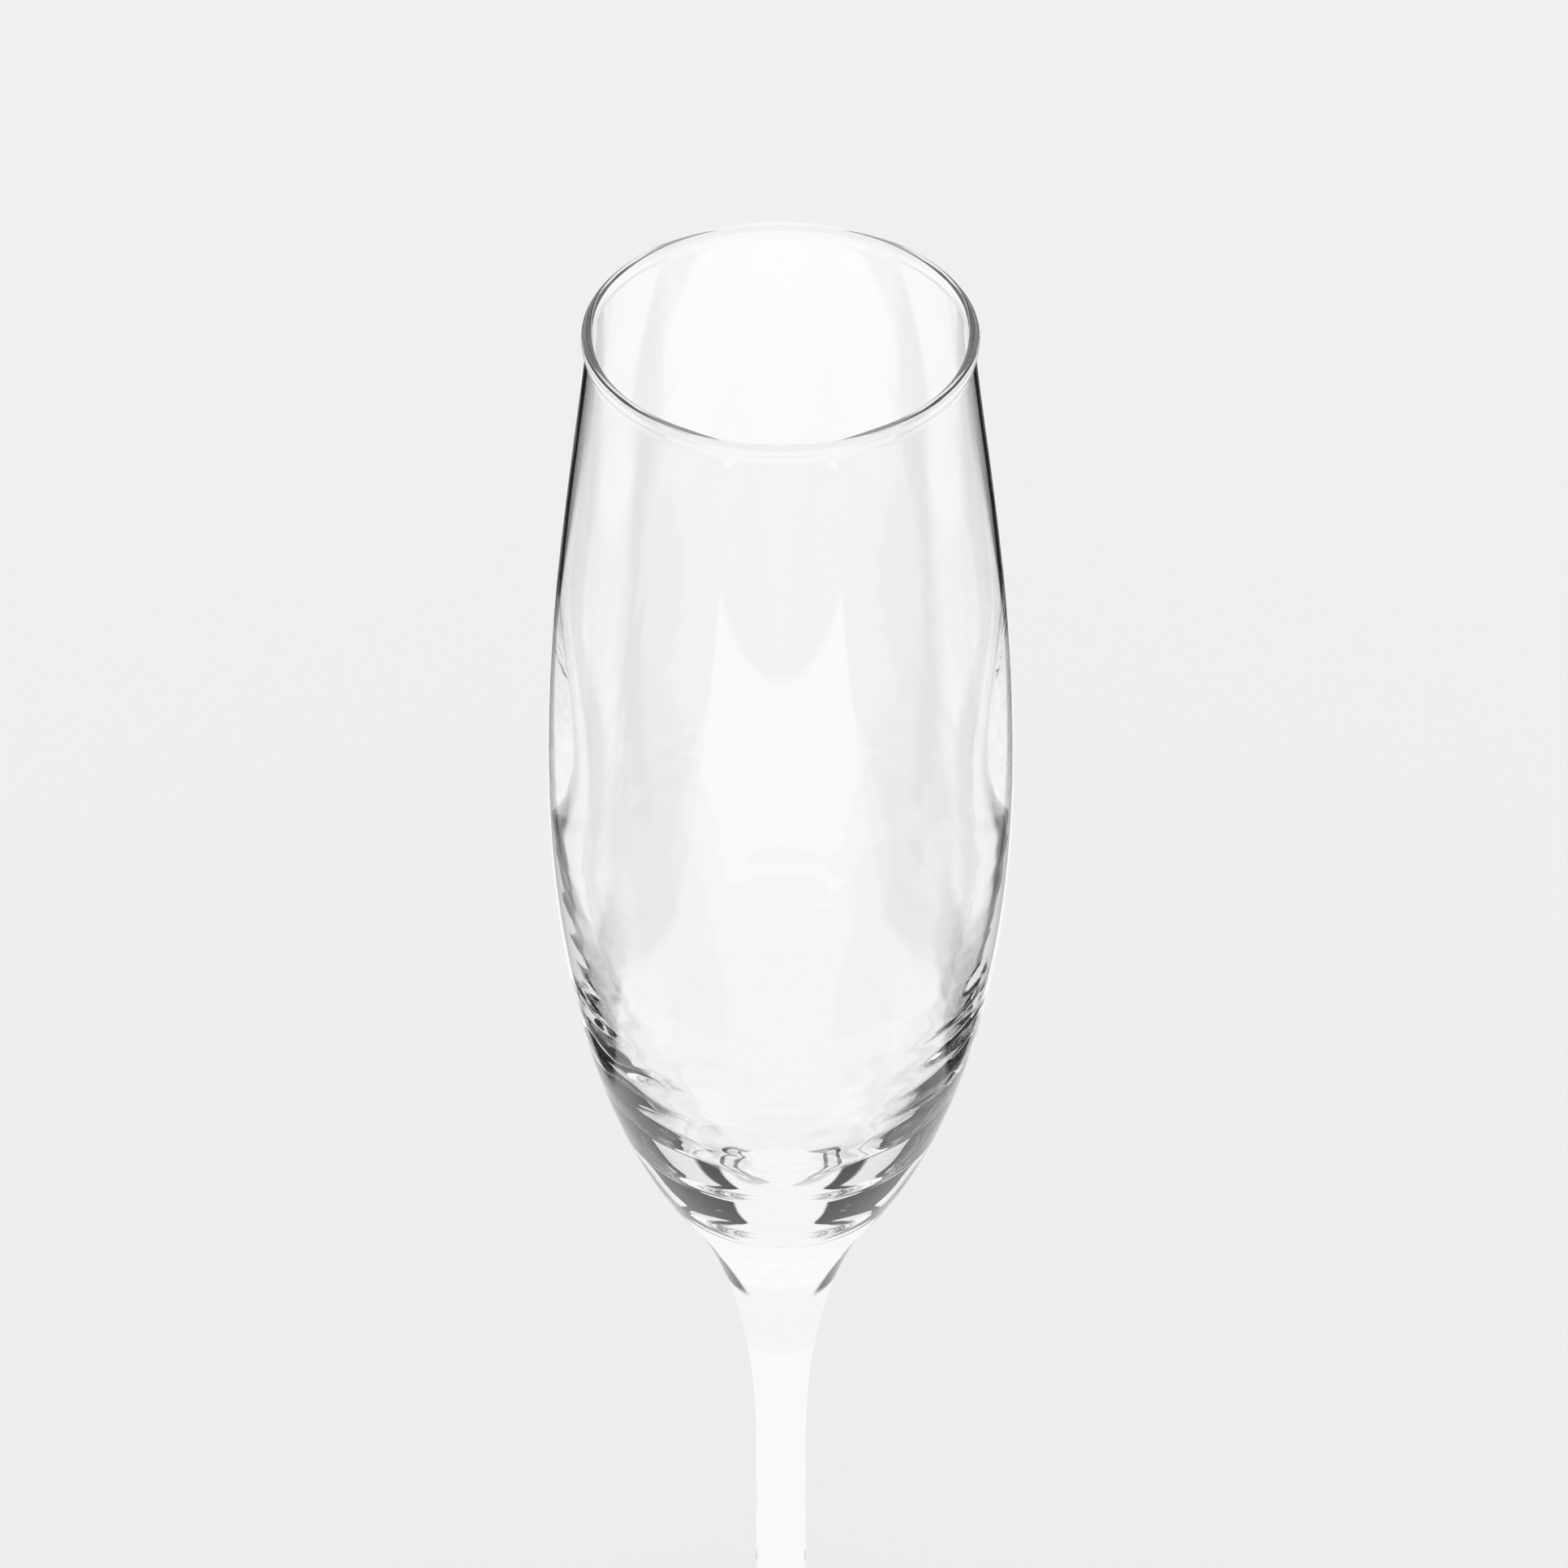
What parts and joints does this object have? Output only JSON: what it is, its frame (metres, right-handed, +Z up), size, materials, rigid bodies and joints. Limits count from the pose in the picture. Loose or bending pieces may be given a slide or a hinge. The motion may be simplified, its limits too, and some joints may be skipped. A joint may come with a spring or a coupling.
{
  "type": "champagne flute",
  "caption": "Tall champagne flute in clear glass: slim blown bowl with a fire-polished rim, drawn stem and a thin round foot.",
  "frame": {"origin": "centre of the foot's resting plane on the table", "axes": "+Z up along the glass's axis of revolution, from the foot to the rim; +X and +Y lie in the table plane"},
  "size_m": [0.066, 0.066, 0.24],
  "materials": {
    "bowl_glass": "clear, fire-polished",
    "stem_glass": "clear, fire-polished",
    "foot_glass": "clear, fire-polished"
  },
  "bodies": {
    "root": {"bowl": "bowl_glass", "stem": "stem_glass", "foot": "foot_glass"}
  },
  "joints": []
}
